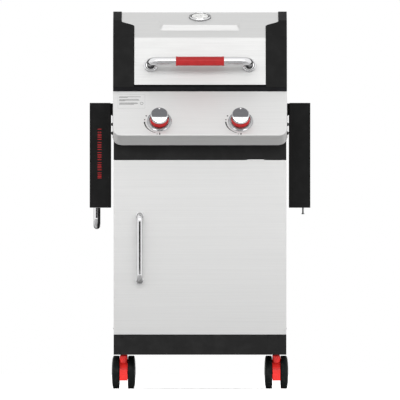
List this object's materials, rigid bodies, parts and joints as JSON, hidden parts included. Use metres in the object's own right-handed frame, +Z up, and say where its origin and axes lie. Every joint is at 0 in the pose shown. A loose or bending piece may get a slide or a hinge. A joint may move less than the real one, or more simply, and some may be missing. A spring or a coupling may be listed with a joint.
{
  "type": "gas barbecue grill",
  "caption": "Gas grill on a wheeled cabinet, with a hinged stainless lid, a cabinet door, fold-down side shelves, push-and-turn knobs and swivelling twin-wheel casters.",
  "frame": {"origin": "on the floor, under the middle of the whole grill at rest", "axes": "+Z up, the front with the knobs and the door faces -Y, +X to the right as seen from the front"},
  "size_m": [0.6774, 0.547, 1.16],
  "materials": {
    "stainless": "brushed stainless steel, satin",
    "chrome": "polished chrome plate",
    "brass": "machined brass",
    "zinc": "bright zinc-plated steel",
    "black_steel": "black powder coat, fine texture, semi-matt",
    "cast_black": "black paint on cast aluminium, semi-matt",
    "enamel": "black enamel",
    "cast_iron": "seasoned cast iron, rough",
    "black_plastic": "black moulded plastic, fine texture",
    "red_plastic": "red moulded plastic, satin",
    "wheel_black": "black nylon wheel with a soft tread",
    "dial_white": "white printed dial behind glass"
  },
  "bodies": {
    "cart": {"base_pan": "black_steel", "rear_panel": "black_steel", "front_rail": "black_steel", "side_panel_left": "black_steel", "side_panel_right": "black_steel", "door_pin_bottom": "zinc", "door_pin_top": "zinc", "firebox": "enamel", "warming_rack": "chrome", "burner_left": "stainless", "burner_right": "stainless", "flame_tamer_left": "stainless", "flame_tamer_right": "stainless", "grate_left": "cast_iron", "grate_right": "cast_iron", "shelf_bracket_left": "black_steel", "shelf_bracket_right": "black_steel", "lid_hinge_left": "zinc", "lid_hinge_right": "zinc", "control_panel": "stainless", "manifold": "zinc", "bezel_left": "chrome", "bezel_right": "chrome", "valve_left": "brass", "valve_right": "brass"},
    "tray": {"grease_tray": "zinc"},
    "lid": {"lid_skin": "stainless", "lid_cap_left": "cast_black", "lid_cap_right": "cast_black", "lid_handle": "chrome", "lid_grip": "red_plastic", "thermometer_case": "chrome", "thermometer_dial": "dial_white"},
    "door": {"door_skin": "stainless", "door_liner": "zinc", "door_handle": "chrome"},
    "stem_left": {"valve_stem_left": "zinc"},
    "knob_left": {"knob_skirt_left": "red_plastic", "knob_cap_left": "chrome"},
    "stem_right": {"valve_stem_right": "zinc"},
    "knob_right": {"knob_skirt_right": "red_plastic", "knob_cap_right": "chrome"},
    "shelf_left": {"shelf_plate_left": "stainless", "shelf_trim_front_left": "black_plastic", "shelf_trim_rear_left": "black_plastic", "towel_bar": "chrome"},
    "shelf_right": {"shelf_plate_right": "stainless", "shelf_trim_front_right": "black_plastic", "shelf_trim_rear_right": "black_plastic", "utensil_pegs": "zinc"},
    "caster_front_left": {"caster_housing_front_left": "red_plastic"},
    "wheels_front_left": {"caster_wheels_front_left": "wheel_black"},
    "brake_front_left": {"caster_brake_front_left": "red_plastic"},
    "caster_front_right": {"caster_housing_front_right": "red_plastic"},
    "wheels_front_right": {"caster_wheels_front_right": "wheel_black"},
    "brake_front_right": {"caster_brake_front_right": "red_plastic"},
    "caster_rear_left": {"caster_housing_rear_left": "red_plastic"},
    "wheels_rear_left": {"caster_wheels_rear_left": "wheel_black"},
    "caster_rear_right": {"caster_housing_rear_right": "red_plastic"},
    "wheels_rear_right": {"caster_wheels_rear_right": "wheel_black"}
  },
  "joints": [
    {"name": "lid_open", "type": "hinge", "parent": "cart", "child": "lid", "pos_m": [0, 0.24855, 0.933], "axis": [-1, 0, 0], "range_deg": [0, 85]},
    {"name": "door_open", "type": "hinge", "parent": "cart", "child": "door", "pos_m": [0.256, -0.17218, 0.4345], "axis": [0, 0, 1], "range_deg": [0, 110]},
    {"name": "shelf_left_raise", "type": "hinge", "parent": "cart", "child": "shelf_left", "pos_m": [-0.2853, 0.03655, 0.867], "axis": [0, 1, 0], "range_deg": [0, 90]},
    {"name": "shelf_right_raise", "type": "hinge", "parent": "cart", "child": "shelf_right", "pos_m": [0.2853, 0.03655, 0.867], "axis": [0, -1, 0], "range_deg": [0, 90]},
    {"name": "knob_left_push", "type": "slide", "parent": "cart", "child": "stem_left", "axis": [0, 0.788, -0.6157], "range_m": [0, 0.004], "stiffness_N_per_m": 900, "springref_m": -0.003},
    {"name": "knob_left_turn", "type": "hinge", "parent": "stem_left", "child": "knob_left", "pos_m": [-0.1245, -0.23088, 0.8208], "axis": [0, -0.788, 0.6157], "range_deg": [0, 180]},
    {"name": "knob_right_push", "type": "slide", "parent": "cart", "child": "stem_right", "axis": [0, 0.788, -0.6157], "range_m": [0, 0.004], "stiffness_N_per_m": 900, "springref_m": -0.003},
    {"name": "knob_right_turn", "type": "hinge", "parent": "stem_right", "child": "knob_right", "pos_m": [0.1245, -0.23088, 0.8208], "axis": [0, -0.788, 0.6157], "range_deg": [0, 180]},
    {"name": "tray_pull", "type": "slide", "parent": "cart", "child": "tray", "axis": [0, 1, 0], "range_m": [0, 0.3]},
    {"name": "swivel_front_left", "type": "hinge", "parent": "cart", "child": "caster_front_left", "pos_m": [-0.235, -0.10345, 0.105], "axis": [0, 0, 1], "continuous": true},
    {"name": "roll_front_left", "type": "hinge", "parent": "caster_front_left", "child": "wheels_front_left", "pos_m": [-0.235, -0.07845, 0.04957], "axis": [1, 0, 0], "continuous": true},
    {"name": "brake_front_left_press", "type": "hinge", "parent": "caster_front_left", "child": "brake_front_left", "pos_m": [-0.235, -0.12335, 0.05912], "axis": [-1, 0, 0], "range_deg": [0, 12]},
    {"name": "swivel_front_right", "type": "hinge", "parent": "cart", "child": "caster_front_right", "pos_m": [0.235, -0.10345, 0.105], "axis": [0, 0, 1], "continuous": true},
    {"name": "roll_front_right", "type": "hinge", "parent": "caster_front_right", "child": "wheels_front_right", "pos_m": [0.235, -0.07845, 0.04957], "axis": [1, 0, 0], "continuous": true},
    {"name": "brake_front_right_press", "type": "hinge", "parent": "caster_front_right", "child": "brake_front_right", "pos_m": [0.235, -0.12335, 0.05912], "axis": [-1, 0, 0], "range_deg": [0, 12]},
    {"name": "swivel_rear_left", "type": "hinge", "parent": "cart", "child": "caster_rear_left", "pos_m": [-0.235, 0.19655, 0.105], "axis": [0, 0, 1], "continuous": true},
    {"name": "roll_rear_left", "type": "hinge", "parent": "caster_rear_left", "child": "wheels_rear_left", "pos_m": [-0.235, 0.22155, 0.04957], "axis": [1, 0, 0], "continuous": true},
    {"name": "swivel_rear_right", "type": "hinge", "parent": "cart", "child": "caster_rear_right", "pos_m": [0.235, 0.19655, 0.105], "axis": [0, 0, 1], "continuous": true},
    {"name": "roll_rear_right", "type": "hinge", "parent": "caster_rear_right", "child": "wheels_rear_right", "pos_m": [0.235, 0.22155, 0.04957], "axis": [1, 0, 0], "continuous": true}
  ]
}
